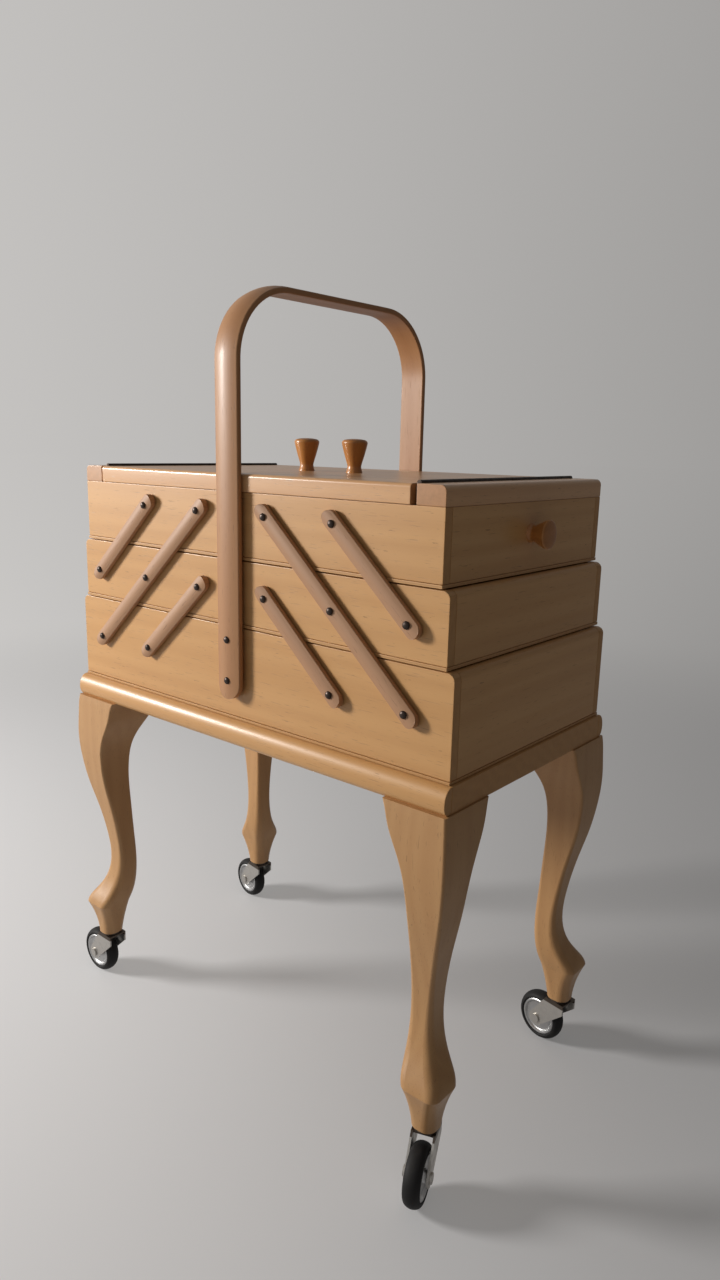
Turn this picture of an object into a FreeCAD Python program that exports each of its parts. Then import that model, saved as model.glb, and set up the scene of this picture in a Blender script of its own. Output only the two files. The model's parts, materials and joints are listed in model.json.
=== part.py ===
import FreeCAD, Part
import math
import os

# Cantilever sewing box on four cabriole legs with swivel casters. Two pairs of trays swing
# out to the left and right on wooden arms, over a fixed bottom box with a bentwood handle.
# Frame: +X right, +Y back, +Z up. The origin is the middle of the base board's underside.

# ---- Driving dimensions, mm ----
DEPTH = 245.0            # outside of the front boards to outside of the back boards
TOP_HALF = 220.0         # middle of the box to the end of a top tray
TIER_STEP = 7.0          # each lower tier is this much longer at each end
FLOOR_Z = -337.0         # where the wheels stand
FOOT_Z = -279.5          # underside of the wooden feet
BASE_T = 22.0            # base board thickness
BOTTOM_H = 85.0          # heights of the three tiers
MIDDLE_H = 58.5
TOP_H = 58.0
TIER_GAP = 1.0           # air between one tier and the next
LID_T = 15.5             # lids and the fixed strips beside them
BOARD = 9.0              # side and end boards
PLY = 3.0                # floor panels
PIVOT_X = (43.0, 118.5, 194.0)   # pivot columns, from the middle outwards
PIVOT_Z = (207.0, 138.5, 70.0)   # pivot rows, on the top, middle and bottom tier
LEG_X = 222.0            # caster axes
LEG_Y = 116.0
WHEEL_R = 25.0
TRAIL = 20.0             # wheel axle behind the swivel axis

# ---- Details that follow from them ----
FRONT = -DEPTH / 2
SPLIT = 0.5              # half the gap between left and right trays
LIP = 0.6                # floor panels stand proud of the front and back boards
TIER_ROUND = 6.0         # rounded upper end corner of the lower tiers
STRIP_W = 26.0           # fixed strip at the outer end of a top tray
HINGE_GAP = 4.0          # between a lid and its strip
LID_PROUD = 2.0          # lids stand out beyond the front and back boards
BASE_OVER = 2.5          # base board beyond the bottom box at each end
MOULDING_OUT = 9.5
TOP_Z = BASE_T + BOTTOM_H + MIDDLE_H + TOP_H + 2 * TIER_GAP + LID_T

ARM_W = 17.0
ARM_T = 6.0
ARM_OFF = 1.0            # washer space between the boards and the arms
ARM_REACH = 3.5          # centre of the round end beyond the last pivot
SHANK_R = 1.75           # pivot screws
SCREW_HEAD_R = 3.25
SCREW_HEAD_H = 2.0
PLAY = 0.1               # running clearance at the arm pivots
OPEN_PLAY = 0.3          # clearance at the pivots that no joint drives

HANDLE_W = 28.0
HANDLE_T = 7.0
HANDLE_OUT = 10.0        # outer face beyond the front and back boards
HANDLE_TOP = 398.0
HANDLE_BOTTOM = 43.0
HANDLE_BEND = 65.0       # outer radius of the two bends
HANDLE_SCREW_Z = (60.0, 97.0)

KNUCKLE_R = 1.9          # lid hinges
PIN_R = 0.9
PIN_PLAY = 0.05
LEAF_T = 1.0
LEAF_H = 12.0
HINGE_HALF = 117.0
KNUCKLES = 11
KNUCKLE_GAP = 0.4
AXIS_LIFT = 0.4          # hinge axis above the lid tops

STEM_R = 4.0             # caster stems
AXLE_R = 3.0
BORE_PLAY = 0.05
FORK_T = 1.8
FORK_IN = 8.7            # inner face of a fork plate from the wheel's middle plane
# Swivel headings about +Z, degrees: the way each wheel trails behind its swivel
HEADINGS = {"front_left": 180.0, "front_right": 290.0, "back_left": 171.0, "back_right": 170.0}


def vec(x, y, z):
    return FreeCAD.Vector(x, y, z)


def save(node, solids):
    """Write one node, as a solid or a group of separate solids."""
    os.makedirs("parts", exist_ok=True)
    shape = solids[0] if len(solids) == 1 else Part.makeCompound(solids)
    shape.exportStep("parts/" + node + ".step")


def box(x0, x1, y0, y1, z0, z1):
    return Part.makeBox(x1 - x0, y1 - y0, z1 - z0, vec(x0, y0, z0))


def rod(radius, start, axis, length):
    return Part.makeCylinder(radius, length, start, axis)


def arc(a, b, c):
    return Part.Arc(a, b, c).toShape()


def dome(rim, z, rise):
    """An arc from the rim up to the Z axis, centred on that axis."""
    ball = (rim ** 2 + rise ** 2) / (2 * rise)
    half_turn = 0.5 * math.asin(rim / ball)
    middle = vec(ball * math.sin(half_turn), 0, z + rise - ball * (1 - math.cos(half_turn)))
    return arc(vec(rim, 0, z), middle, vec(0, 0, z + rise))


def spline(points):
    curve = Part.BSplineCurve()
    curve.interpolate(points)
    return curve.toShape()


def turned(edges):
    """A solid of revolution about Z from edges in the XZ plane that end on the axis."""
    return Part.Face(Part.Wire(edges)).revolve(vec(0, 0, 0), vec(0, 0, 1), 360)


def front_to_back(solid):
    """The solid and its mirror image on the other face of the box."""
    return [solid, solid.mirror(vec(0, 0, 0), vec(0, 1, 0))]


def mirrored(solids):
    """The solids of the left half, from those of the right half."""
    return [solid.mirror(vec(0, 0, 0), vec(1, 0, 0)) for solid in solids]


def save_both(name, solids):
    save("right_" + name, solids)
    save("left_" + name, mirrored(solids))


def rounded(solid, radius, wanted):
    """The solid with the wanted edges filleted."""
    return solid.makeFillet(radius, [edge for edge in solid.Edges if wanted(edge)])


# ---- Tiers ----
def tier_block(x0, x1, z0, z1, round_left, round_right):
    """The whole block of a tier, with its upper end corners rounded where asked."""
    block = box(x0, x1, FRONT, -FRONT, z0, z1)
    ends = [x for x, wanted in ((x0, round_left), (x1, round_right)) if wanted]
    if not ends:
        return block

    def at_upper_end(edge):
        middle = edge.CenterOfMass
        return abs(middle.z - z1) < 0.01 and min(abs(middle.x - x) for x in ends) < 0.01

    return rounded(block, TIER_ROUND, at_upper_end)


def tier_parts(block, x0, x1, z0, z1):
    """Side boards, end boards and floor panel of a tier."""
    walls = block.common(box(x0, x1, FRONT, -FRONT, z0 + PLY, z1))
    sides = front_to_back(walls.common(box(x0, x1, FRONT, FRONT + BOARD, z0, z1)))
    inner = -FRONT - BOARD
    spans = ((x0, x0 + BOARD), (x1 - BOARD, x1))
    ends = [walls.common(box(a, b, -inner, inner, z0, z1)) for a, b in spans]
    floor = box(x0, x1, FRONT - LIP, -FRONT + LIP, z0, z0 + PLY)
    return sides, ends, [floor]


def make_tiers():
    z = BASE_T
    half = TOP_HALF + 2 * TIER_STEP
    block = tier_block(-half, half, z, z + BOTTOM_H, True, True)
    sides, ends, floor = tier_parts(block, -half, half, z, z + BOTTOM_H)
    save("box_sides", sides)
    save("box_ends", ends)
    save("box_floor", floor)
    z += BOTTOM_H + TIER_GAP
    trays = (("middle_tray", MIDDLE_H, TOP_HALF + TIER_STEP, True), ("top_tray", TOP_H, TOP_HALF, False))
    for name, height, half, rounded in trays:
        block = tier_block(SPLIT, half, z, z + height, False, rounded)
        sides, ends, floor = tier_parts(block, SPLIT, half, z, z + height)
        save_both(name + "_sides", sides)
        save_both(name + "_ends", ends)
        save_both(name + "_floor", floor)
        z += height + TIER_GAP


# ---- Lids, strips, hinges and knobs ----
def on_top(edge):
    return edge.CenterOfMass.z > TOP_Z - 0.01


def make_lids():
    edge = TOP_HALF - STRIP_W - HINGE_GAP
    reach = -FRONT + LID_PROUD
    lid = box(SPLIT + 0.25, edge, -reach, reach, TOP_Z - LID_T + 0.3, TOP_Z)
    lid = rounded(lid, 3.0, lambda edge: on_top(edge) and abs(edge.CenterOfMass.y) > reach - 0.01)
    save_both("lid", [lid])
    strip = box(TOP_HALF - STRIP_W, TOP_HALF, FRONT, -FRONT, TOP_Z - LID_T, TOP_Z)
    strip = rounded(strip, 5.0, lambda edge: on_top(edge) and edge.CenterOfMass.x > TOP_HALF - 0.01)
    save_both("end_strip", [strip])


def hinge_leaf(x0, x1, first):
    """A leaf between x0 and x1, with every second knuckle along the hinge starting at first."""
    axis_x = TOP_HALF - STRIP_W - HINGE_GAP / 2
    axis_z = TOP_Z + AXIS_LIFT
    pitch = 2 * HINGE_HALF / KNUCKLES
    below = axis_z - KNUCKLE_R - 0.3
    leaf = box(x0, x1, -HINGE_HALF, HINGE_HALF, TOP_Z - LEAF_H, below)
    for number in range(first, KNUCKLES, 2):
        y0 = -HINGE_HALF + number * pitch + KNUCKLE_GAP / 2
        y1 = y0 + pitch - KNUCKLE_GAP
        barrel = rod(KNUCKLE_R, vec(axis_x, y0, axis_z), vec(0, 1, 0), y1 - y0)
        leaf = leaf.fuse([box(x0, x1, y0, y1, below - 0.5, axis_z), barrel])
    bore = rod(PIN_R + PIN_PLAY, vec(axis_x, -HINGE_HALF - 1, axis_z), vec(0, 1, 0), 2 * HINGE_HALF + 2)
    return leaf.cut(bore).removeSplitter()


def make_hinges():
    near_lid = TOP_HALF - STRIP_W - HINGE_GAP
    near_strip = TOP_HALF - STRIP_W
    pin_start = vec(near_lid + HINGE_GAP / 2, -HINGE_HALF, TOP_Z + AXIS_LIFT)
    save_both("lid_hinge_leaf", [hinge_leaf(near_lid, near_lid + LEAF_T, 1)])
    save_both("tray_hinge_leaf", [hinge_leaf(near_strip - LEAF_T, near_strip, 0)])
    save_both("hinge_pin", [rod(PIN_R, pin_start, vec(0, 1, 0), 2 * HINGE_HALF)])


def knob(height, rim_z):
    """A turned knob on the XY plane, waisted near its foot and flared to a domed head."""
    foot_r, waist_r, rim_r = 7.5, 6.8, 12.0
    waist_z = 0.15 * height
    neck_r = 0.5 * (waist_r + rim_r) - 0.9
    flank = [vec(foot_r, 0, 0), vec(waist_r, 0, waist_z), vec(neck_r, 0, 0.55 * rim_z), vec(rim_r, 0, rim_z)]
    axis = Part.makeLine(vec(0, 0, height), vec(0, 0, 0))
    foot = Part.makeLine(vec(0, 0, 0), flank[0])
    return turned([foot, spline(flank), dome(rim_r, rim_z, height - rim_z), axis])


def make_knobs():
    lid_knob = knob(31.0, 27.0)
    lid_knob.translate(vec(30.5, 0, TOP_Z))
    save_both("lid_knob", [lid_knob])
    end_knob = knob(18.0, 14.5)
    end_knob.rotate(vec(0, 0, 0), vec(0, 1, 0), 90)
    end_knob.translate(vec(TOP_HALF, 0, TOP_Z - 41.0))
    save_both("end_knob", [end_knob])


# ---- Arms and their pivot screws ----
def pivot(column, row):
    """A pivot of the right front arms, on the outside of the boards."""
    return vec(PIVOT_X[column], FRONT, PIVOT_Z[row])


def arm(pivots, plays):
    """A round-ended arm through its pivots on the right front, with a hole at each."""
    along = (pivots[-1] - pivots[0]).normalize()
    half_w = ARM_W / 2
    length = (pivots[-1] - pivots[0]).Length + 2 * ARM_REACH
    outline = [
        Part.makeLine(vec(0, -half_w, 0), vec(length, -half_w, 0)),
        arc(vec(length, -half_w, 0), vec(length + half_w, 0, 0), vec(length, half_w, 0)),
        Part.makeLine(vec(length, half_w, 0), vec(0, half_w, 0)),
        arc(vec(0, half_w, 0), vec(-half_w, 0, 0), vec(0, -half_w, 0)),
    ]
    bar = Part.Face(Part.Wire(outline)).extrude(vec(0, 0, ARM_T))
    bar = rounded(bar, 1.2, lambda edge: edge.CenterOfMass.z > ARM_T - 0.01)
    out = vec(0, -1, 0)
    across = out.cross(along)
    start = pivots[0] - along * ARM_REACH + out * ARM_OFF
    bar.transformShape(FreeCAD.Matrix(
        along.x, across.x, out.x, start.x,
        along.y, across.y, out.y, start.y,
        along.z, across.z, out.z, start.z,
        0, 0, 0, 1))
    for centre, play in zip(pivots, plays):
        bar = bar.cut(rod(SHANK_R + play, centre, out, 2 * ARM_OFF + ARM_T))
    return bar


def domed_screw(grip, bite):
    """A screw along -Z from z=0, its domed head above a grip length and its point below."""
    points = [vec(0, 0, grip + SCREW_HEAD_H), vec(0, 0, -bite), vec(SHANK_R, 0, -bite + SHANK_R),
              vec(SHANK_R, 0, grip), vec(SCREW_HEAD_R, 0, grip)]
    sides = [Part.makeLine(a, b) for a, b in zip(points[:-1], points[1:])]
    return turned([dome(SCREW_HEAD_R, grip, SCREW_HEAD_H)] + sides)


def pivot_screw(centre):
    """Screw and washer at a pivot on the right front."""
    screw = domed_screw(ARM_OFF + ARM_T + PLAY, BOARD - 1.5)
    washer = rod(4.5, vec(0, 0, 0), vec(0, 0, 1), ARM_OFF - PLAY)
    washer = washer.cut(rod(SHANK_R + PLAY, vec(0, 0, -1), vec(0, 0, 1), 3))
    for solid in (screw, washer):
        solid.rotate(vec(0, 0, 0), vec(1, 0, 0), 90)
        solid.translate(centre)
    return [screw, washer]


def make_arms():
    long_arm = arm([pivot(0, 0), pivot(1, 1), pivot(2, 2)], [PLAY, PLAY, PLAY])
    upper_arm = arm([pivot(1, 0), pivot(2, 1)], [OPEN_PLAY, PLAY])
    lower_arm = arm([pivot(0, 1), pivot(1, 2)], [OPEN_PLAY, PLAY])
    save_both("long_arms", front_to_back(long_arm))
    save_both("upper_arms", front_to_back(upper_arm))
    save_both("lower_arms", front_to_back(lower_arm))


def make_pivot_screws():
    """Screws belong to the tier whose board they bite into."""
    rows = {"top_tray_screws": (0, (0, 1)), "middle_tray_screws": (1, (0, 1, 2))}
    for name, (row, columns) in rows.items():
        front = [solid for column in columns for solid in pivot_screw(pivot(column, row))]
        save_both(name, [half for solid in front for half in front_to_back(solid)])
    front = [solid for column in (1, 2) for solid in pivot_screw(pivot(column, 2))]
    right = [half for solid in front for half in front_to_back(solid)]
    save("box_pivot_screws", right + mirrored(right))


# ---- Handle ----
def rounded_loop(half_y, top, bend):
    """An upside-down U in the YZ plane, open at the level of the handle's ends."""
    low = HANDLE_BOTTOM
    turn = bend * (1 - math.sqrt(0.5))
    edges = [
        Part.makeLine(vec(0, -half_y, low), vec(0, -half_y, top - bend)),
        arc(vec(0, -half_y, top - bend), vec(0, -half_y + turn, top - turn), vec(0, -half_y + bend, top)),
        Part.makeLine(vec(0, -half_y + bend, top), vec(0, half_y - bend, top)),
        arc(vec(0, half_y - bend, top), vec(0, half_y - turn, top - turn), vec(0, half_y, top - bend)),
        Part.makeLine(vec(0, half_y, top - bend), vec(0, half_y, low)),
        Part.makeLine(vec(0, half_y, low), vec(0, -half_y, low)),
    ]
    return Part.Face(Part.Wire(edges)).extrude(vec(HANDLE_W, 0, 0))


def make_handle():
    outer = -FRONT + HANDLE_OUT
    inner = outer - HANDLE_T
    half_w = HANDLE_W / 2
    loop = rounded_loop(outer, HANDLE_TOP, HANDLE_BEND)
    loop = loop.cut(rounded_loop(inner, HANDLE_TOP - HANDLE_T, HANDLE_BEND - HANDLE_T))
    loop.translate(vec(-half_w, 0, 0))
    silhouette = box(-half_w, half_w, -outer, outer, HANDLE_BOTTOM + half_w, HANDLE_TOP)
    silhouette = silhouette.fuse(rod(half_w, vec(0, -outer, HANDLE_BOTTOM + half_w), vec(0, 1, 0), 2 * outer))
    save("handle", [loop.common(silhouette).removeSplitter()])

    low, high = HANDLE_SCREW_Z
    spacer = box(-10, 10, -inner, FRONT, low - 10, high + 5)
    save("handle_spacers", front_to_back(spacer))
    screws = []
    for z in HANDLE_SCREW_Z:
        screw = domed_screw(HANDLE_OUT, BOARD - 1.5)
        screw.rotate(vec(0, 0, 0), vec(1, 0, 0), 90)
        screw.translate(vec(0, FRONT, z))
        screws += front_to_back(screw)
    save("handle_screws", screws)


# ---- Base and legs ----
def make_base():
    half = TOP_HALF + 2 * TIER_STEP + BASE_OVER
    save("base_board", [box(-half, half, FRONT, -FRONT, 0, BASE_T)])
    nose = FRONT - MOULDING_OUT
    a, b, c = vec(-half, FRONT, BASE_T), vec(-half, nose, 9.0), vec(-half, nose + 4.0, 1.2)
    d, e = vec(-half, nose + 4.0, 0), vec(-half, FRONT, 0)
    profile = [
        arc(a, vec(-half, nose + 2.2, 17.6), b),
        arc(b, vec(-half, nose + 0.9, 4.2), c),
        Part.makeLine(c, d),
        Part.makeLine(d, e),
        Part.makeLine(e, a),
    ]
    moulding = Part.Face(Part.Wire(profile)).extrude(vec(2 * half, 0, 0))
    save("base_mouldings", front_to_back(moulding))


# Leg sections from the top down: height, outer and inner limit from the caster axis along
# both X and Y, and corner radius. The knee stands out, the ankle tucks in under it.
LEG_SHAPE = (
    (0.0, 16.0, -44.5, 2.0),
    (-19.0, 17.6, -38.0, 2.0),
    (-37.0, 18.4, -29.5, 2.0),
    (-52.0, 18.2, -23.4, 2.0),
    (-72.0, 16.4, -19.9, 2.0),
    (-97.0, 12.6, -19.2, 2.5),
    (-127.0, 6.0, -20.4, 3.0),
    (-157.0, 0.8, -21.8, 3.5),
    (-185.0, -1.2, -23.4, 5.0),
    (-202.0, 0.8, -23.8, 6.5),
    (-217.0, 6.0, -23.2, 8.0),
    (-229.0, 13.0, -21.4, 8.5),
    (-242.0, 19.5, -17.8, 9.0),
)
# Below the pad the foot tapers to the caster
STUMP_SHAPE = (
    (-242.0, 19.5, -17.8, 9.0),
    (-253.0, 15.6, -15.4, 9.0),
    (FOOT_Z, 11.5, -11.5, 9.5),
)


def leg_section(height, outer, inner, corner):
    """A square with rounded corners, its sides along X and Y."""
    a, b = inner, outer
    turn = corner * (1 - math.sqrt(0.5))
    edges = []
    corners = ((b, b, 1, 1), (a, b, -1, 1), (a, a, -1, -1), (b, a, 1, -1))
    points = []
    for x, y, sx, sy in corners:
        along_y = vec(x, y - sy * corner, height)
        along_x = vec(x - sx * corner, y, height)
        middle = vec(x - sx * turn, y - sy * turn, height)
        points.append((along_y, middle, along_x) if sx == sy else (along_x, middle, along_y))
    for number, (first, middle, last) in enumerate(points):
        edges.append(arc(first, middle, last))
        edges.append(Part.makeLine(last, points[(number + 1) % 4][0]))
    return Part.Wire(edges)


def make_legs():
    leg = Part.makeLoft([leg_section(*row) for row in LEG_SHAPE], True)
    stump = Part.makeLoft([leg_section(*row) for row in STUMP_SHAPE], True)
    back_right = leg.fuse(stump).removeSplitter()
    back_right.translate(vec(LEG_X, LEG_Y, 0))
    back = [back_right] + mirrored([back_right])
    save("back_legs", back)
    save("front_legs", [solid.mirror(vec(0, 0, 0), vec(0, 1, 0)) for solid in back])


# ---- Casters, built with the swivel axis on Z and the wheel trailing along +X ----
AXLE_Z = FLOOR_Z + WHEEL_R


def fork():
    cheek_top = FOOT_Z - 2.5
    front = -12.0
    edges = [
        Part.makeLine(vec(front, 0, cheek_top), vec(9, 0, cheek_top)),
        Part.makeLine(vec(9, 0, cheek_top), vec(TRAIL + 7.6, 0, AXLE_Z + 2.5)),
        arc(vec(TRAIL + 7.6, 0, AXLE_Z + 2.5), vec(TRAIL + 2, 0, AXLE_Z - 7.8), vec(TRAIL - 6.8, 0, AXLE_Z - 4.2)),
        Part.makeLine(vec(TRAIL - 6.8, 0, AXLE_Z - 4.2), vec(front, 0, cheek_top - 11)),
        Part.makeLine(vec(front, 0, cheek_top - 11), vec(front, 0, cheek_top)),
    ]
    cheek = Part.Face(Part.Wire(edges)).extrude(vec(0, FORK_T, 0))
    cheek.translate(vec(0, FORK_IN, 0))
    wide = FORK_IN + FORK_T
    bridge = box(front, 9, -wide, wide, cheek_top - FORK_T, cheek_top)
    cup = rod(11.0, vec(0, 0, cheek_top), vec(0, 0, 1), 2.0)
    body = bridge.fuse(front_to_back(cheek) + [cup])
    body = body.cut(rod(STEM_R + BORE_PLAY, vec(0, 0, cheek_top - 5), vec(0, 0, 1), 10))
    body = body.cut(rod(AXLE_R + BORE_PLAY, vec(TRAIL, -wide - 1, AXLE_Z), vec(0, 1, 0), 2 * wide + 2))
    return body.removeSplitter()


def axle():
    wide = FORK_IN + FORK_T
    pin = rod(AXLE_R, vec(TRAIL, -wide, AXLE_Z), vec(0, 1, 0), 2 * wide)
    heads = front_to_back(rod(4.5, vec(TRAIL, wide, AXLE_Z), vec(0, 1, 0), 1.8))
    return pin.fuse(heads).removeSplitter()


def wheel_ring(outline):
    """A ring about the axle from (radius, half width) corners on the axle's outside."""
    corners = [vec(r, 0, y) for r, y in outline] + [vec(r, 0, -y) for r, y in reversed(outline)]
    ring = Part.Face(Part.makePolygon(corners + corners[:1])).revolve(vec(0, 0, 0), vec(0, 0, 1), 360)
    ring.rotate(vec(0, 0, 0), vec(1, 0, 0), 90)
    ring.translate(vec(TRAIL, 0, AXLE_Z))
    return ring


def hub():
    bore = AXLE_R + BORE_PLAY
    return wheel_ring([(bore, 8.4), (7, 8.4), (8, 3), (15, 3), (16, 6.5), (19, 6.5)])


def tyre():
    ring = wheel_ring([(19, 7.5), (WHEEL_R, 7.5)])
    return rounded(ring, 3.5, lambda edge: edge.BoundBox.XLength > 2 * WHEEL_R - 1 and edge.Closed)


def stem():
    neck = rod(STEM_R, vec(0, 0, FOOT_Z - 5.5), vec(0, 0, 1), 35.0)
    head = rod(6.0, vec(0, 0, FOOT_Z - 6.6), vec(0, 0, 1), 2.0)
    return neck.fuse(head).removeSplitter()


def make_casters():
    stems = []
    pieces = {"fork": [fork(), axle()], "hub": [hub()], "tyre": [tyre()]}
    for place, heading in HEADINGS.items():
        x = LEG_X if "right" in place else -LEG_X
        y = LEG_Y if "back" in place else -LEG_Y
        for name, solids in pieces.items():
            placed = [solid.copy() for solid in solids]
            for solid in placed:
                solid.rotate(vec(0, 0, 0), vec(0, 0, 1), heading)
                solid.translate(vec(x, y, 0))
            save(place + "_caster_" + name, placed)
        stems.append(stem().translated(vec(x, y, 0)))
    save("caster_stems", stems)


make_tiers()
make_lids()
make_hinges()
make_knobs()
make_arms()
make_pivot_screws()
make_handle()
make_base()
make_legs()
make_casters()
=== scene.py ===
import json
import math

import bmesh
import bpy
from mathutils import Matrix, Vector


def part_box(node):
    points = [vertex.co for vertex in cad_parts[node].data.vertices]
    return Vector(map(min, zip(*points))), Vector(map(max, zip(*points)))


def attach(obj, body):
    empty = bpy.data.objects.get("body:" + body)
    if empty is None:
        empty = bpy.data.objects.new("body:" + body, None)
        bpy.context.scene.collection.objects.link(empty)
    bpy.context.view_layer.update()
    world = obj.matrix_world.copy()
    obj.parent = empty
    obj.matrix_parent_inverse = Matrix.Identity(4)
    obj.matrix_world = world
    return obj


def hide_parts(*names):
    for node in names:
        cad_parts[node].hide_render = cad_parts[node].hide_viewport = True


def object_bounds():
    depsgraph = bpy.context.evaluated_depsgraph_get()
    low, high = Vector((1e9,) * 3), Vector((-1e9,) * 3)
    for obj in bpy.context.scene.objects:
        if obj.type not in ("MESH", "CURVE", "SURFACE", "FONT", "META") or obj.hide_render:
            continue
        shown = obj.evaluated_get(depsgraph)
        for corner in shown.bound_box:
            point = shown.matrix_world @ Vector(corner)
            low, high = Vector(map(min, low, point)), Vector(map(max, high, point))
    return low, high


# The looks of a cantilever sewing box: lacquered boards, turned knobs, swinging arms with domed
# screws, a bentwood handle, curved legs and furniture casters, built round its fixed frame.

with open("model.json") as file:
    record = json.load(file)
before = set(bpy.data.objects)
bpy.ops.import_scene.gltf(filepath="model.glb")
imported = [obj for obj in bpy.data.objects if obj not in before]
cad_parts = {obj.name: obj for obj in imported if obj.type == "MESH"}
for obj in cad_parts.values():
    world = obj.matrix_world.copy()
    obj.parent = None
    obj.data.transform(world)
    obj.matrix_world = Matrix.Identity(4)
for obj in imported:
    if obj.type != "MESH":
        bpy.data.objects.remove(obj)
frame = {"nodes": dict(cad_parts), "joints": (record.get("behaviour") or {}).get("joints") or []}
CAD_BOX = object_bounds()

bl_info = {
    "name": "Sewing Box",
    "version": (1, 0, 0),
    "blender": (4, 5, 0),
    "location": "3D View > Sidebar > Sewing Box",
    "description": "Builds the visible pieces of a cantilever sewing box around its packed frame",
    "category": "Add Mesh",
}

MM = 0.001
SIDES = {"right": 1, "left": -1}
CORNERS = ("front_left", "front_right", "back_left", "back_right")
FACES = {"front": -1, "back": 1}
JOINT_AT = {joint["name"]: Vector(joint["pos_m"]) for joint in frame["joints"]}
# Pivot columns from the middle outwards, and rows from the top tray down
DIAGONAL = [JOINT_AT["right_" + name] for name in ("top_tray_pivot", "middle_tray_pivot", "tray_swing")]
COLUMNS = [pivot.x for pivot in DIAGONAL]
ROWS = [pivot.z for pivot in DIAGONAL]


def length(name, description, default):
    """A size in metres, from a default in millimetres."""
    return bpy.props.FloatProperty(name=name, description=description, default=default * MM, unit="LENGTH",
                                   precision=5)


def share(name, description, default):
    """A plain number between 0 and 1."""
    return bpy.props.FloatProperty(name=name, description=description, default=default, min=0.0, max=1.0)


def colour(name, description, default):
    return bpy.props.FloatVectorProperty(name=name, description=description, default=default, subtype="COLOR",
                                         size=3, min=0.0, max=1.0)


class CaseSizes(bpy.types.PropertyGroup):
    board: length("Board thickness", "Side and end boards of every tier", 9.0)
    tier_round: length("Tier rounding", "Radius of the upper end edges of the lower tiers", 6.0)
    edge: length("Edge softening", "Width of the sanded edges of the boards", 0.7)
    lid_round: length("Lid rounding", "Radius along the front and back of the lids", 3.0)
    strip_round: length("Strip rounding", "Radius along the outside of the end strips", 5.0)
    panel_groove: length("Panel groove", "Dark line above and below the bottom box's floor panel", 0.45)
    tray_groove: length("Tray groove", "Dark line above and below the trays' floor panels", 0.2)
    panel_edge: length("Panel edge", "Width of the sanded edges of the floor panels", 0.28)
    moulding_edge: length("Moulding edge", "Width of the sanded ends of the mouldings", 0.8)
    nose_height: share("Nose height", "Where a moulding stands out furthest, in its height", 0.41)
    nose_under: share("Flat underside", "Flat part of a moulding's underside, in its width", 0.55)


class ArmSizes(bpy.types.PropertyGroup):
    width: length("Arm width", "Width of every arm", 14.5)
    thickness: length("Arm thickness", "Thickness in the middle of an arm", 6.0)
    crown: length("Arm crown", "How much thinner an arm is at its edges", 1.8)
    edge: length("Arm edge", "Rounding of the arms' edges", 1.0)
    reach: length("Arm reach", "Centre of the round end beyond the last pivot", 4.75)
    screw_radius: length("Screw radius", "Radius of the domed pivot screws", 3.25)
    screw_rise: length("Screw rise", "Height of the screw domes", 2.0)
    shank_radius: length("Shank radius", "Radius of the screw shanks", 1.75)
    washer_radius: length("Washer radius", "Washers between the boards and the arms", 4.5)
    washer_thickness: length("Washer thickness", "Thickness of the same washers", 0.8)
    bite: length("Screw bite", "Depth that each screw goes into its board", 7.0)


class HandleSizes(bpy.types.PropertyGroup):
    thickness: length("Handle thickness", "Thickness in the middle of the bent strip", 7.0)
    bend: length("Handle bend", "Outer radius of the two bends", 65.0)
    crown: length("Handle crown", "How much thinner the strip is at its edges", 2.4)
    edge: length("Handle edge", "Rounding of the strip's edges", 1.4)
    block_edge: length("Block edge", "Width of the sanded edges of the spacer blocks", 0.4)


class WheelSizes(bpy.types.PropertyGroup):
    half_width: length("Half width", "Half the width of a tyre", 7.5)
    tread: length("Tread", "Depth of the rounded tread", 5.0)
    boss: length("Boss", "Half the length of a hub's boss", 8.2)
    boss_radius: length("Boss radius", "Radius of a hub's boss", 5.2)
    disc: length("Disc", "Hub disc from the wheel's middle", 4.6)
    lip: length("Lip", "Rolled rim of the disc from the wheel's middle", 7.1)
    bead: length("Bead", "How far a tyre's inner edge is set in from its side", 0.8)
    # Height of the painted shade at the top of each fork, under its foot
    shaded_race_height: length("Race height", "Ball race between a fork and its foot", 6.2)


class KnobSizes(bpy.types.PropertyGroup):
    foot: length("Knob foot", "Radius where a knob stands on the wood", 7.5)
    waist: length("Knob waist", "Smallest radius", 6.6)
    flank: share("Knob flank", "Height of the rim, in the height of a knob", 1 - 4.2 / 31)


class Finishes(bpy.types.PropertyGroup):
    maple: colour("Boards", "Pale boards of the trays and the box", (0.62, 0.345, 0.138))
    maple_dark: colour("Board figure", "Darker growth rings of the boards", (0.47, 0.232, 0.077))
    lid: colour("Lids", "Lids and end strips", (0.66, 0.375, 0.175))
    lid_dark: colour("Lid figure", "Darker growth rings of the lids", (0.49, 0.240, 0.100))
    arm: colour("Arms", "Arms on the front and back", (0.43, 0.240, 0.130))
    arm_dark: colour("Arm figure", "Darker grain of the arms", (0.33, 0.160, 0.076))
    bent: colour("Handle", "Bent strip", (0.43, 0.218, 0.097))
    bent_dark: colour("Handle figure", "Darker grain of the bent strip", (0.33, 0.143, 0.055))
    leg: colour("Legs", "Sawn legs", (0.50, 0.280, 0.118))
    leg_dark: colour("Leg figure", "Darker grain of the legs", (0.40, 0.200, 0.076))
    amber: colour("Knobs", "Stained knobs", (0.54, 0.225, 0.055))
    amber_dark: colour("Knob figure", "Darker grain of the knobs", (0.33, 0.122, 0.028))
    bronze: colour("Dark metal", "Screws and hinges", (0.055, 0.042, 0.036))
    nickel: colour("Nickel", "Caster forks", (0.50, 0.48, 0.45))
    dull_metal: colour("Hubs", "Wheel hubs", (0.50, 0.50, 0.50))
    # Painted shade on the race at the top of each fork, under its foot
    race: colour("Ball races", "Dark ball races under the feet", (0.10, 0.080, 0.065))
    rubber: colour("Rubber", "Tyres", (0.010, 0.0095, 0.010))


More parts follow.
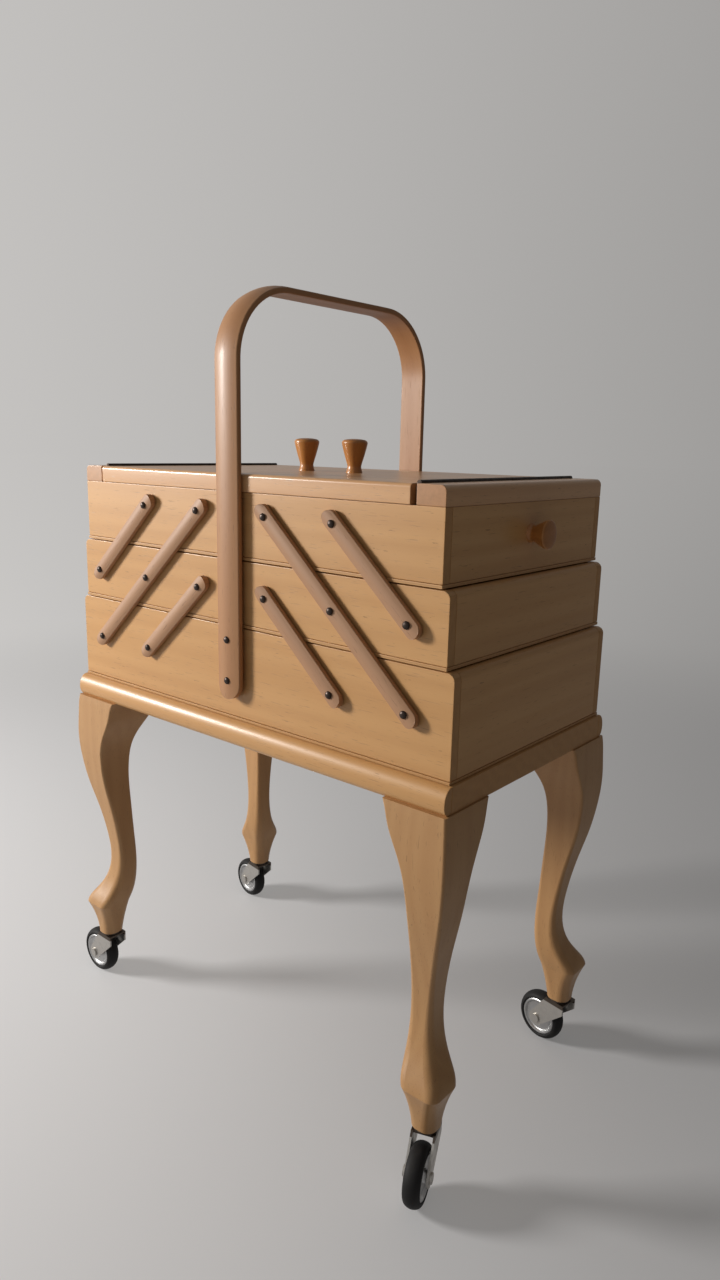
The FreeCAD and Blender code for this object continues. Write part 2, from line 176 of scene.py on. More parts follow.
class StageSettings(bpy.types.PropertyGroup):
    floor_colour: colour("Floor", "Pale floor", (0.80, 0.80, 0.82))
    backdrop: colour("Backdrop", "Tint of the plain surroundings", (1.0, 0.975, 0.95))
    bright_side: share("Bright side", "Backdrop on the side of the light", 0.72)
    dim_side: share("Dim side", "Backdrop on the side away from the light", 0.18)
    ambient: share("Ambient light", "Share of the backdrop that lights the box", 0.28)
    mirrored: share("Mirrored backdrop", "Share of the backdrop seen in gloss", 0.75)
    # Share of painted light, a glow, in the floor by the box
    floor_glow: share("Floor glow", "Share of backdrop in the floor by the box", 0.5)
    key_power: bpy.props.FloatProperty(name="Key power", description="Soft light from the front left",
                                       default=45.0, unit="POWER")
    key_size: length("Key size", "Diameter of the key light", 480.0)
    lens: length("Lens", "Focal length of the camera", 24.71)


# ---- Shader expressions ----
class Value:
    """A shader socket that Python arithmetic adds Math nodes to."""

    def __init__(self, nodes, socket):
        self.nodes = nodes
        self.socket = socket

    def math(self, operation, other, swap=False):
        first, second = (other, self) if swap else (self, other)
        return self.nodes.add("ShaderNodeMath", {"operation": operation}, {0: first, 1: second})["Value"]

    def __add__(self, other):
        return self.math("ADD", other)

    def __sub__(self, other):
        return self.math("SUBTRACT", other)

    def __rsub__(self, other):
        return self.math("SUBTRACT", other, swap=True)

    def __mul__(self, other):
        return self.math("MULTIPLY", other)

    __radd__ = __add__
    __rmul__ = __mul__

    def clamped(self):
        return self.nodes.add("ShaderNodeClamp", {}, {"Value": self})["Result"]

    def ramp(self, low, high):
        """0 below low, 1 above high, and smooth between."""
        return self.nodes.add("ShaderNodeMapRange", {"interpolation_type": "SMOOTHSTEP"},
                              {"Value": self, "From Min": low, "From Max": high})["Result"]


class Outputs:
    """The outputs of a new node, by name."""

    def __init__(self, nodes, node):
        self.nodes = nodes
        self.node = node

    def __getitem__(self, name):
        enabled = [socket for socket in self.node.outputs if socket.enabled and socket.name == name]
        return Value(self.nodes, enabled[0])


class Nodes:
    """The node tree of a material or a world."""

    def __init__(self, owner):
        self.owner = owner
        owner.use_nodes = True
        self.tree = owner.node_tree
        self.tree.nodes.clear()

    def add(self, kind, settings=None, values=None):
        """A node of this type, its settings made first and then its sockets set or linked."""
        node = self.tree.nodes.new(kind)
        for key, value in (settings or {}).items():
            setattr(node, key, value)
        for key, value in (values or {}).items():
            if isinstance(key, int):
                socket = node.inputs[key]
            else:
                socket = [s for s in node.inputs if s.enabled and s.name == key][0]
            if isinstance(value, Value):
                self.tree.links.new(value.socket, socket)
            else:
                socket.default_value = value
        return Outputs(self, node)

    def mixed(self, share, first, second):
        """A colour between two, each a colour or a socket."""
        first = (*first, 1.0) if isinstance(first, tuple) else first
        second = (*second, 1.0) if isinstance(second, tuple) else second
        values = {"Factor": share, "A": first, "B": second}
        return self.add("ShaderNodeMix", {"data_type": "RGBA"}, values)["Result"]

    def stretched(self, vector, x, y, z):
        """A coordinate scaled along its three axes."""
        return self.add("ShaderNodeMapping", {}, {"Vector": vector, "Scale": (x, y, z)})["Vector"]

    def noise(self, vector, scale, detail=2.0, roughness=0.5):
        values = {"Vector": vector, "Scale": scale, "Detail": detail, "Roughness": roughness}
        return self.add("ShaderNodeTexNoise", {}, values)["Fac"]

    def fibres(self, place, along, across, detail=2.0, roughness=0.5):
        """Noise drawn out along the grain, from how often it changes along and across."""
        return self.noise(self.stretched(place, along, across, across), 1.0, detail, roughness)

    def attribute(self, name, output="Fac"):
        return self.add("ShaderNodeAttribute", {"attribute_name": name})[output]

    def bump(self, height, distance, strength=1.0):
        values = {"Height": height, "Distance": distance, "Strength": strength}
        return self.add("ShaderNodeBump", {}, values)["Normal"]

    def surface(self, values):
        """Principled shader and output, which complete the material."""
        shader = self.add("ShaderNodeBsdfPrincipled", {}, values)["BSDF"]
        self.add("ShaderNodeOutputMaterial", {}, {"Surface": shader})
        return self.owner


# ---- Finishes ----
WOOD_FIGURE = 0.75      # contrast of the growth rings and streaks
WOOD_FLECK = 0.9        # strength of the pores and ticks
CLOUDED = 0.35          # brightness of metal where it has gone dull


def darker(tint, share):
    return tuple(channel * share for channel in tint)


def wood(name, pale, dark, upright=False, rough=0.42, coat=0.15, end_share=0.6):
    """Lacquered wood, its grain along the grain attribute's X, or upright in the object's coordinates."""
    nodes = Nodes(bpy.data.materials.new(name))
    if upright:
        values = {"Vector": nodes.add("ShaderNodeTexCoord")["Object"], "Rotation": (0, math.pi / 2, 0)}
        place = nodes.add("ShaderNodeMapping", {}, values)["Vector"]
    else:
        place = nodes.attribute("grain", "Vector")
    # Growth rings, cut almost flat, wandering slowly along the board
    drift = nodes.fibres(place, 2.2, 16.0)
    rings = nodes.add("ShaderNodeTexWave",
                      {"wave_type": "RINGS", "rings_direction": "X", "wave_profile": "SIN"},
                      {"Vector": nodes.stretched(place, 0.35, 9.0, 9.0), "Scale": 3.0, "Distortion": 5.5,
                       "Detail": 2.0, "Detail Scale": 0.9, "Detail Roughness": 0.55})["Fac"]
    fibre = nodes.fibres(place, 14.0, 900.0, 3.0, 0.6)
    streak = nodes.fibres(place, 5.0, 150.0, 2.0, 0.55)
    pores = nodes.fibres(place, 60.0, 1400.0, 1.0).ramp(0.66, 0.74)
    cloud = nodes.fibres(place, 5.0, 7.0)
    tone = (rings * 0.34 + drift * 0.42 + streak * 0.40 + fibre * 0.22 - 0.30) * WOOD_FIGURE
    tone = tone + (cloud - 0.5) * 0.30
    base = nodes.mixed(tone.clamped(), pale, dark)
    # Pores and short dark ticks
    deep = darker(dark, 0.45)
    base = nodes.mixed(pores * WOOD_FLECK * 0.45, base, deep)
    ticks = nodes.fibres(place, 95.0, 620.0, 2.0, 0.55).ramp(0.70, 0.76)
    base = nodes.mixed(ticks * WOOD_FLECK * 0.6, base, deep)
    height = fibre * 0.35 + streak * 0.3 - pores * 0.6
    roughness = rough + (streak - 0.5) * 0.16 + pores * 0.1
    if not upright:
        # Darker end grain, and the sanded edges painted lighter: lacquer rubbed thin there, and a painted
        # highlight along them
        worn = nodes.attribute("worn")
        end = nodes.attribute("end_grain")
        ends = nodes.fibres(place, 30.0, 260.0, 3.0, 0.6)
        cut = nodes.mixed((ends * 0.9 + rings * 0.1 - 0.2).clamped(), dark, darker(dark, 0.6))
        base = nodes.mixed(end * end_share, base, cut)
        patchy_wear_and_highlight = nodes.fibres(place, 40.0, 60.0, 2.0, 0.6).ramp(0.35, 0.7)
        light = tuple(min(1.0, channel * 1.22 + 0.03) for channel in pale)
        # Painted highlight on the edges, broken up by patches of real wear
        base = nodes.mixed(worn * patchy_wear_and_highlight * 0.55, base, light)
        roughness = roughness + worn * 0.08 + end * 0.12
    normal = nodes.bump(height, 0.00012, 0.55)
    return nodes.surface({"Base Color": base, "Roughness": roughness, "Normal": normal, "Coat Weight": coat,
                          "Coat Roughness": 0.2, "Specular IOR Level": 0.4})


def metal(name, tint, rough, dirt=0.3, race=None):
    """Metal with fine scratches and duller, darker patches, and painted shade above a height, where the fork's
    race sits under the foot.
    """
    nodes = Nodes(bpy.data.materials.new(name))
    place = nodes.add("ShaderNodeTexCoord")["Object"]
    brushed = nodes.noise(nodes.stretched(place, 300.0, 2400.0, 900.0), 1.0, 3.0, 0.65)
    patches = nodes.noise(place, 140.0, 4.0, 0.6).ramp(0.42, 0.68)
    base = nodes.mixed(patches * dirt, tint, darker(tint, CLOUDED))
    # Painted shade: dark above the height, where the race sits under the foot
    if race:
        height, dark = race
        up = nodes.add("ShaderNodeSeparateXYZ", {}, {"Vector": place})["Z"]
        base = nodes.mixed(up.ramp(height - 0.3 * MM, height), base, dark)
    return nodes.surface({"Base Color": base, "Metallic": 1.0,
                          "Roughness": rough + (brushed - 0.5) * 0.12 + patches * 0.14,
                          "Normal": nodes.bump(brushed, 0.00004, 0.4)})


def rubber(name, tint):
    nodes = Nodes(bpy.data.materials.new(name))
    place = nodes.add("ShaderNodeTexCoord")["Object"]
    grain = nodes.noise(place, 1600.0, 3.0, 0.7)
    dust = nodes.noise(place, 90.0, 4.0, 0.65).ramp(0.45, 0.75)
    base = nodes.mixed(dust * 0.25, tint, (0.060, 0.055, 0.050))
    return nodes.surface({"Base Color": base, "Roughness": 0.62 + dust * 0.2, "Specular IOR Level": 0.25,
                          "Normal": nodes.bump(grain, 0.0001, 0.35)})


def plywood(name, pale, dark):
    """Thin board whose three layers show at its edges as light and dark lines."""
    nodes = Nodes(bpy.data.materials.new(name))
    place = nodes.attribute("grain", "Vector")
    layer = nodes.attribute("layer")
    streak = nodes.fibres(place, 6.0, 260.0, 3.0, 0.6)
    base = nodes.mixed((streak * 1.1 - 0.2).clamped(), pale, dark)
    core = layer.ramp(0.33, 0.37) * (1.0 - layer.ramp(0.63, 0.67))
    base = nodes.mixed(core * 0.3, base, darker(dark, 0.5))
    return nodes.surface({"Base Color": base, "Roughness": 0.45 + (streak - 0.5) * 0.15,
                          "Normal": nodes.bump(streak, 0.0001, 0.4)})


def backdrop_light(nodes, direction, stage):
    """Strength of the backdrop that way: brighter towards the light, and weak as a source of light."""
    away = nodes.add("ShaderNodeVectorMath", {"operation": "DOT_PRODUCT"},
                     {0: direction, 1: AWAY_FROM_LIGHT})["Value"]
    seen = nodes.add("ShaderNodeMapRange", {}, {"Value": away, "From Min": -1.0, "To Min": stage.bright_side,
                                                "To Max": stage.dim_side})["Result"]
    path = nodes.add("ShaderNodeLightPath")
    lighting = path["Is Diffuse Ray"] * (1.0 - stage.ambient)
    mirrored = path["Is Glossy Ray"] * (1.0 - stage.mirrored)
    return seen * (1.0 - lighting - mirrored)


def floor_finish(name, stage):
    """Pale floor that turns into the backdrop some way from the box; by the box it is half painted light, a
    glow that is brighter on the side of the key light and lifts the shadows on it.
    """
    nodes = Nodes(bpy.data.materials.new(name))
    place = nodes.add("ShaderNodeTexCoord")["Object"]
    cloud = nodes.noise(place, 1.5, 3.0, 0.5)
    tint = tuple(stage.floor_colour)
    base = nodes.mixed(cloud * 0.5, tint, darker(tint, 0.95))
    paint = nodes.add("ShaderNodeBsdfPrincipled", {}, {"Base Color": base, "Roughness": 0.75})["BSDF"]
    direction = nodes.add("ShaderNodeVectorMath", {"operation": "NORMALIZE"}, {0: place})["Vector"]
    values = {"Color": (*stage.backdrop, 1.0), "Strength": backdrop_light(nodes, direction, stage)}
    # Painted light: the floor glows, brighter towards the key light
    painted_floor_light = nodes.add("ShaderNodeEmission", {}, values)["Emission"]
    radius = nodes.add("ShaderNodeVectorMath", {"operation": "LENGTH"}, {0: place})["Value"]
    far = radius.ramp(*FLOOR_FADE) * (1.0 - stage.floor_glow) + stage.floor_glow
    blend = nodes.add("ShaderNodeMixShader", {}, {0: far, 1: paint, 2: painted_floor_light})["Shader"]
    nodes.add("ShaderNodeOutputMaterial", {}, {"Surface": blend})
    return nodes.owner


MATERIALS = {}


WOODS = {
    "case_wood": ("Lacquered_boards", "maple", {}),
    "lid_wood": ("Glossy_lid_wood", "lid", {"rough": 0.34, "coat": 0.35, "end_share": 0.95}),
    "arm_wood": ("Arm_wood", "arm", {"rough": 0.5, "coat": 0.05}),
    "bent_wood": ("Bent_wood", "bent", {"rough": 0.46, "coat": 0.08}),
    "knob_wood": ("Amber_knob_wood", "amber", {"rough": 0.36, "coat": 0.25}),
    "leg_wood": ("Leg_wood", "leg", {"rough": 0.44, "upright": True}),
}


def make_materials(tints, shaded_race_height):
    tint = {name: tuple(getattr(tints, name)) for name in tints.__annotations__}
    for slot, (name, kind, settings) in WOODS.items():
        MATERIALS[slot] = wood(name, tint[kind], tint[kind + "_dark"], **settings)
    MATERIALS["plywood"] = plywood("Thin_plywood", tint["maple"], tint["maple_dark"])
    MATERIALS["dark_screws"] = metal("Dark_domed_screws", tint["bronze"], 0.34)
    MATERIALS["hinge_metal"] = metal("Dark_hinge_metal", tint["bronze"], 0.42)
    # The painted shade under each foot starts this far below the top of the fork
    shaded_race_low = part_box("front_left_caster_fork")[1].z - shaded_race_height
    MATERIALS["nickel"] = metal("Worn_nickel", tint["nickel"], 0.42, dirt=0.2, race=(shaded_race_low, tint["race"]))
    MATERIALS["hub_metal"] = metal("Dull_hub_metal", tint["dull_metal"], 0.34, dirt=0.2)
    MATERIALS["tyre_rubber"] = rubber("Tyre_rubber", tint["rubber"])


# ---- Mesh helpers ----
ON_AXIS = 1e-7          # radius under which a turned profile meets its axis
SHARP = math.radians(38)    # faces that meet at more than this keep a crisp edge


def rounded_outline(corners, radii, steps=6):
    """A closed outline through the corners, each turned into an arc of its radius."""
    points = []
    count = len(corners)
    for number, (corner, radius) in enumerate(zip(corners, radii)):
        corner = Vector(corner)
        if radius <= 0:
            points.append(corner)
            continue
        towards = [(Vector(corners[(number + step) % count]) - corner).normalized() for step in (-1, 1)]
        half = towards[0].angle(towards[1]) / 2
        bisector = (towards[0] + towards[1]).normalized()
        centre = corner + bisector * (radius / math.sin(half))
        start = corner + towards[0] * (radius / math.tan(half)) - centre
        finish = corner + towards[1] * (radius / math.tan(half)) - centre
        sweep = start.angle_signed(finish)
        for step in range(steps + 1):
            turn = Matrix.Rotation(-sweep * step / steps, 2)
            points.append(centre + turn @ start)
    return points


def prism(outline, place, depth):
    """A solid with this outline in the XY plane of the place, extruded along its Z by the depth."""
    solid = bmesh.new()
    low = [solid.verts.new(place @ Vector((p[0], p[1], 0))) for p in outline]
    high = [solid.verts.new(place @ Vector((p[0], p[1], depth))) for p in outline]
    solid.faces.new(reversed(low))
    solid.faces.new(high)
    for number, point in enumerate(low):
        following = (number + 1) % len(low)
        solid.faces.new((point, low[following], high[following], high[number]))
    bmesh.ops.recalc_face_normals(solid, faces=solid.faces)
    return solid


def soften(solid, width, sharper=math.radians(35), segments=2, wanted=None):
    """Rounds the sharp edges of a solid and marks the new faces as worn edges, which the wood finishes paint
    lighter as a painted highlight.
    """
    sharp = [e for e in solid.edges if e.calc_face_angle(0) > sharper and (wanted is None or wanted(e))]
    made = bmesh.ops.bevel(solid, geom=sharp, offset=width, segments=segments, profile=0.5, affect="EDGES",
                           clamp_overlap=True)
    # These faces get a painted highlight in the wood finishes, as well as wear
    worn = solid.faces.layers.float.get("worn") or solid.faces.layers.float.new("worn")
    for face in made["faces"]:
        if face.is_valid:
            face[worn] = 1.0


# Planes that outlines are drawn in: their first axis, second axis and the way they are extruded
XZ_BACKWARDS = Matrix(((1, 0, 0, 0), (0, 0, 1, 0), (0, 1, 0, 0), (0, 0, 0, 1)))
YZ_RIGHT = Matrix(((0, 0, 1, 0), (1, 0, 0, 0), (0, 1, 0, 0), (0, 0, 0, 1)))


def plank(low, high, edge, radii=(0, 0, 0, 0), across="y"):
    """A board with its outline in XZ (across y) or YZ (across x). Radii start at the lower left corner."""
    (x0, y0, z0), (x1, y1, z1) = low, high
    if across == "y":
        corners = ((x0, z0), (x1, z0), (x1, z1), (x0, z1))
        solid = prism(rounded_outline(corners, radii), Matrix.Translation((0, y0, 0)) @ XZ_BACKWARDS, y1 - y0)
    else:
        corners = ((y0, z0), (y1, z0), (y1, z1), (y0, z1))
        solid = prism(rounded_outline(corners, radii), Matrix.Translation((x0, 0, 0)) @ YZ_RIGHT, x1 - x0)
    soften(solid, edge)
    return solid


def lathe(profile, place, segments=56):
    """A solid turned about the place's Z from (radius, height) points, or a ring where they miss the axis."""
    solid = bmesh.new()
    rings = []
    for radius, height in profile:
        if radius < ON_AXIS:
            rings.append([solid.verts.new(place @ Vector((0, 0, height)))])
            continue
        angles = [2 * math.pi * number / segments for number in range(segments)]
        rings.append([solid.verts.new(place @ Vector((radius * math.cos(a), radius * math.sin(a), height)))
                      for a in angles])
    closing = [] if profile[0][0] < ON_AXIS else rings[:1]
    for below, above in zip(rings, rings[1:] + closing):
        for number in range(segments):
            following = (number + 1) % segments
            corners = [below[number % len(below)], below[following % len(below)],
                       above[following % len(above)], above[number % len(above)]]
            distinct = list(dict.fromkeys(corners))
            if len(distinct) > 2:
                solid.faces.new(distinct)
    bmesh.ops.recalc_face_normals(solid, faces=solid.faces)
    return solid


def crowned_section(half_w, thick, crown, edge):
    """(across, depth) points round a strip: a crowned outer face, rounded edges and a flat inner face."""
    steps = 12
    corner_steps = 4
    flat = half_w - edge
    points = []
    for number in range(steps + 1):
        x = -flat + 2 * flat * number / steps
        points.append((x, crown * (x / half_w) ** 2))
    side = crown * (flat / half_w) ** 2
    turns = [0.5 * math.pi * number / corner_steps for number in range(corner_steps + 1)]
    points += [(flat + edge * math.sin(turn), side + edge * (1 - math.cos(turn))) for turn in turns[1:]]
    points += [(flat + edge * math.cos(turn), thick - edge + edge * math.sin(turn)) for turn in turns]
    points += [(-flat - edge * math.sin(turn), thick - edge + edge * math.cos(turn)) for turn in turns]
    points += [(-flat - edge * math.cos(turn), side + edge - edge * math.sin(turn)) for turn in turns[:-1]]
    return points


def crowned_strip(path, total, half_w, section, crown, steps):
    """A round-ended strip along a path, and a function from a point on it to its place in the grain."""
    round_steps = 14
    turns = [0.5 * math.pi * number / round_steps for number in range(1, round_steps + 1)]
    ends = [0.01 * half_w] + [half_w * (1 - math.cos(turn)) for turn in turns]
    span = total - 2 * half_w
    stations = ends + [half_w + span * number / steps for number in range(1, steps)]
    stations += [total - s for s in reversed(ends)]
    middle_depth = 0.5 * max(depth for _, depth in section)
    solid = bmesh.new()
    places = {}
    rings = []
    for s in stations:
        near = min(1.0, min(s, total - s) / half_w)
        share = math.sqrt(max(0.0, 1 - (1 - near) ** 2))
        point, out, across = path(s)
        ring = []
        for x, depth in section:
            lift = crown * (x / half_w) ** 2 * (1 - share ** 2) if depth < middle_depth else 0.0
            position = point + across * (x * share) - out * (depth - lift)
            places[position.to_tuple(6)] = Vector((s, x, depth))
            ring.append(solid.verts.new(position))
        rings.append(ring)
    for first, second in zip(rings[:-1], rings[1:]):
        for number in range(len(section)):
            following = (number + 1) % len(section)
            solid.faces.new((first[number], first[following], second[following], second[number]))
    solid.faces.new(rings[0])
    solid.faces.new(reversed(rings[-1]))
    bmesh.ops.recalc_face_normals(solid, faces=solid.faces)
    return solid, lambda position: places[position.to_tuple(6)]


class Piece:
    """A visible piece in the making: separate solids in one mesh, each with its own grain."""

    count = 0

    def __init__(self):
        self.mesh = bpy.data.meshes.new("making")
        self.solids = bmesh.new()
        self.solids.verts.layers.float_vector.new("grain")
        for name in ("worn", "end_grain"):
            self.solids.faces.layers.float.new(name)

    def add(self, solid, along, across=None, grain=None):
        """Takes a solid with its grain along a direction, or with a grain place for each vertex."""
        Piece.count += 1
        along = Vector(along).normalized()
        across = Vector(across).normalized() if across else along.orthogonal().normalized()
        through = along.cross(across)
        middle = sum((v.co for v in solid.verts), Vector()) / len(solid.verts)
        shift = Vector((0.731, 0.0173, 0.0259)) * Piece.count
        grain_layer = solid.verts.layers.float_vector.new("grain")
        for vertex in solid.verts:
            if grain:
                place = grain(vertex.co)
            else:
                offset = vertex.co - middle
                place = Vector((offset.dot(along), offset.dot(across), offset.dot(through)))
            vertex[grain_layer] = place + shift
        if not solid.faces.layers.float.get("worn"):
            solid.faces.layers.float.new("worn")
        end = solid.faces.layers.float.new("end_grain")
        for face in solid.faces:
            face[end] = 1.0 if abs(face.normal.dot(along)) > 0.8 and not grain else 0.0
        scratch = bpy.data.meshes.new("solid")
        solid.to_mesh(scratch)
        solid.free()
        self.solids.from_mesh(scratch)
        bpy.data.meshes.remove(scratch)

    def done(self, name, body, slot, nodes):
        """Writes the mesh, and puts the piece on its body in place of the CAD nodes."""
        self.solids.to_mesh(self.mesh)
        self.solids.free()
        self.mesh.name = name
        return placed(linked(name, self.mesh), body, slot, nodes)


def single(solid, along, across, name, body, slot, node):
    """A piece that is one solid."""
    piece = Piece()
    piece.add(solid, along, across)
    return piece.done(name, body, slot, [node])


def linked(name, data):
    """A new object in the scene."""
    made = bpy.data.objects.new(name, data)
    bpy.context.scene.collection.objects.link(made)
    return made


def placed(piece, body, slot, nodes):
    """Shades a piece, gives it its material and puts it on its body in place of the CAD nodes."""
    piece.data.shade_smooth()
    piece.data.set_sharp_from_angle(angle=SHARP)
    weighted = piece.modifiers.new("Even shading", "WEIGHTED_NORMAL")
    weighted.keep_sharp = True
    weighted.weight = 80
    piece.data.materials.clear()
    piece.data.materials.append(MATERIALS[slot])
    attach(piece, body)
    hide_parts(*nodes)
    return piece


def node_radius(node):
    """Radius of a wheel part, which stands upright."""
    low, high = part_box(node)
    return (high.z - low.z) / 2


def finish_node(node, slot):
    """Gives a CAD node its finish."""
    frame["nodes"][node].data.materials.clear()
    frame["nodes"][node].data.materials.append(MATERIALS[slot])


# ---- Operators ----
class MaterialsOperator(bpy.types.Operator):
    """Make the wood, metal and rubber finishes"""

    bl_idname = "sewing_box.finishes"
    bl_label = "Finishes"

    def execute(self, context):
        make_materials(context.scene.sewing_box_finishes, context.scene.sewing_box_wheels.shaded_race_height)
        return {"FINISHED"}


class TiersOperator(bpy.types.Operator):
    """Make the side boards, end boards and floor panels of the bottom box and the four trays"""

    bl_idname = "sewing_box.tiers"
    bl_label = "Box and Trays"

    def execute(self, context):
        sizes = context.scene.sewing_box_case
        self.tier(sizes, "box", "cabinet", (sizes.tier_round, sizes.tier_round))
        for side, sign in SIDES.items():
            for tray, radius in (("middle_tray", sizes.tier_round), ("top_tray", 0.0)):
                ends = (0.0, radius) if sign > 0 else (radius, 0.0)
                self.tier(sizes, side + "_" + tray, side + "_" + tray, ends)
        return {"FINISHED"}

    def tier(self, sizes, name, body, radii):
        """Boards of one tier, with its two upper end edges rounded by the radii."""
        low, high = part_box(name + "_sides")
        board = sizes.board
        sides = Piece()
        for y0, y1 in ((low.y, low.y + board), (high.y - board, high.y)):
            solid = plank((low.x, y0, low.z), (high.x, y1, high.z), sizes.edge, (0, 0, radii[1], radii[0]))
            sides.add(solid, (1, 0, 0), (0, 0, 1))
        sides.done(name + "_side_boards", body, "case_wood", [name + "_sides"])
        ends = Piece()
        spans = ((low.x, low.x + board, (0, 0, 0, radii[0])), (high.x - board, high.x, (0, 0, radii[1], 0)))
        for x0, x1, corner_radii in spans:
            solid = plank((x0, low.y + board, low.z), (x1, high.y - board, high.z), sizes.edge, corner_radii)
            ends.add(solid, (0, 1, 0), (0, 0, 1))
        ends.done(name + "_end_boards", body, "case_wood", [name + "_ends"])
        low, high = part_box(name + "_floor")
        groove = Vector((0, 0, sizes.panel_groove if name == "box" else sizes.tray_groove))
        piece = single(plank(low + groove, high - groove, sizes.panel_edge), (1, 0, 0), (0, 1, 0),
                       name + "_floor_panel", body, "plywood", name + "_floor")
        layer = piece.data.attributes.new("layer", "FLOAT", "POINT")
        for vertex in piece.data.vertices:
            layer.data[vertex.index].value = (vertex.co.z - low.z) / (high.z - low.z)


class LidsOperator(bpy.types.Operator):
    """Make the two lids, the end strips that carry them and finish their hinges"""

    bl_idname = "sewing_box.lids"
    bl_label = "Lids and Hinges"

    def execute(self, context):
        sizes = context.scene.sewing_box_case
        for side, sign in SIDES.items():
            low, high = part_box(side + "_lid")
            radii = (0, 0, sizes.lid_round, sizes.lid_round)
            single(plank(low, high, sizes.edge, radii, "x"), (1, 0, 0), (0, 1, 0),
                   side + "_lid_board", side + "_lid_panel", "lid_wood", side + "_lid")
            low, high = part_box(side + "_end_strip")
            radii = (0, 0, sizes.strip_round, 0) if sign > 0 else (0, 0, 0, sizes.strip_round)
            single(plank(low, high, sizes.edge, radii), (0, 1, 0), (1, 0, 0),
                   side + "_end_strip_board", side + "_top_tray", "lid_wood", side + "_end_strip")
            for node in ("lid_hinge_leaf", "tray_hinge_leaf", "hinge_pin"):
                finish_node(side + "_" + node, "hinge_metal")
        return {"FINISHED"}


def knob_profile(sizes, rim, height):
    """Waisted near the foot, flared to a rounded rim and a low dome."""
    foot, waist = sizes.foot, sizes.waist
    rim_z = sizes.flank * height
    controls = [(foot + 0.3 * MM, 0.0), (foot, 0.05 * rim_z), (waist, 0.17 * rim_z),
                (waist + 0.1 * MM, 0.28 * rim_z), (0.58 * waist + 0.42 * rim, 0.55 * rim_z),
                (0.18 * waist + 0.82 * rim, 0.84 * rim_z)]
    flank = smooth_line(controls, 5)
    top = height - rim_z
    lip = [(rim, rim_z), (rim, rim_z + 0.25 * top), (0.955 * rim, rim_z + 0.46 * top)]
    dome = []
    steps = 9
    for number in range(steps + 1):
        turn = 0.5 * math.pi * number / steps
        dome.append((0.93 * rim * math.cos(turn), rim_z + top * (0.52 + 0.48 * math.sin(turn))))
    return [(0.0, 0.0)] + flank + lip + dome[:-1] + [(0.0, height)]


def smooth_line(controls, steps):
    """Points on a Catmull-Rom curve through the controls."""
    ends = [controls[0]] + list(controls) + [controls[-1]]
    points = []
    for a, b, c, d in zip(ends, ends[1:], ends[2:], ends[3:]):
        a, b, c, d = Vector(a), Vector(b), Vector(c), Vector(d)
        for number in range(steps):
            t = number / steps
            point = 0.5 * (2 * b + (c - a) * t + (2 * a - 5 * b + 4 * c - d) * t ** 2
                           + (3 * b - a - 3 * c + d) * t ** 3)
            points.append(tuple(point))
    points.append(tuple(controls[-1]))
    return points


class KnobsOperator(bpy.types.Operator):
    """Turn the lid knobs and the knobs on the ends of the top trays"""

    bl_idname = "sewing_box.knobs"
    bl_label = "Knobs"

    def execute(self, context):
        sizes = context.scene.sewing_box_knobs
        for side, sign in SIDES.items():
            low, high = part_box(side + "_lid_knob")
            middle = (low + high) / 2
            stand = Matrix.Translation((middle.x, middle.y, low.z))
            self.knob(sizes, side + "_turned_lid_knob", side + "_lid_panel", side + "_lid_knob", stand, "z")
            low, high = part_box(side + "_end_knob")
            middle = (low + high) / 2
            foot = low.x if sign > 0 else high.x
            outwards = Matrix.Rotation(sign * math.pi / 2, 4, "Y")
            stand = Matrix.Translation((foot, middle.y, middle.z)) @ outwards
            self.knob(sizes, side + "_turned_end_knob", side + "_top_tray", side + "_end_knob", stand, "x")
        return {"FINISHED"}

    def knob(self, sizes, name, body, node, stand, axis):
        """A knob as wide and as high as its node, standing on the place, with its grain along the axis."""
        low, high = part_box(node)
        height = getattr(high - low, axis)
        solid = lathe(knob_profile(sizes, (high.y - low.y) / 2, height), stand)
        single(solid, (1, 0, 0) if axis == "x" else (0, 0, 1), None, name, body, "knob_wood", node)


# Each pair of arms by the column and row of its first and last pivot
ARMS = {
    "long_arms": ((0, 0), (2, 2)),
    "upper_arms": ((1, 0), (2, 1)),
    "lower_arms": ((0, 1), (1, 2)),
}


class ArmsOperator(bpy.types.Operator):
    """Make the arms that carry the trays"""

    bl_idname = "sewing_box.arms"
    bl_label = "Arms"

    def execute(self, context):
        sizes = context.scene.sewing_box_arms
        half = sizes.width / 2
        section = crowned_section(half, sizes.thickness, sizes.crown, sizes.edge)
        for side, sign in SIDES.items():
            for name, ((column_a, row_a), (column_b, row_b)) in ARMS.items():
                node = side + "_" + name
                start = Vector((sign * COLUMNS[column_a], 0, ROWS[row_a]))
                finish = Vector((sign * COLUMNS[column_b], 0, ROWS[row_b]))
                along = (finish - start).normalized()
                end = start - along * (sizes.reach + half)
                span = (finish - start).length + 2 * (sizes.reach + half)
                pair = Piece()
                for face in FACES.values():
                    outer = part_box(node)[1].y * face
                    outward = Vector((0, face, 0))

                    def path(s):
                        return end + along * s + Vector((0, outer, 0)), outward, outward.cross(along)

                    solid, grain = crowned_strip(path, span, half, section, sizes.crown, 8)
                    pair.add(solid, along, grain=grain)
                pair.done(side + "_" + name[:-5] + "_arm_pair", side + "_" + name[:-1] + "_pair", "arm_wood",
                          [node])
        return {"FINISHED"}


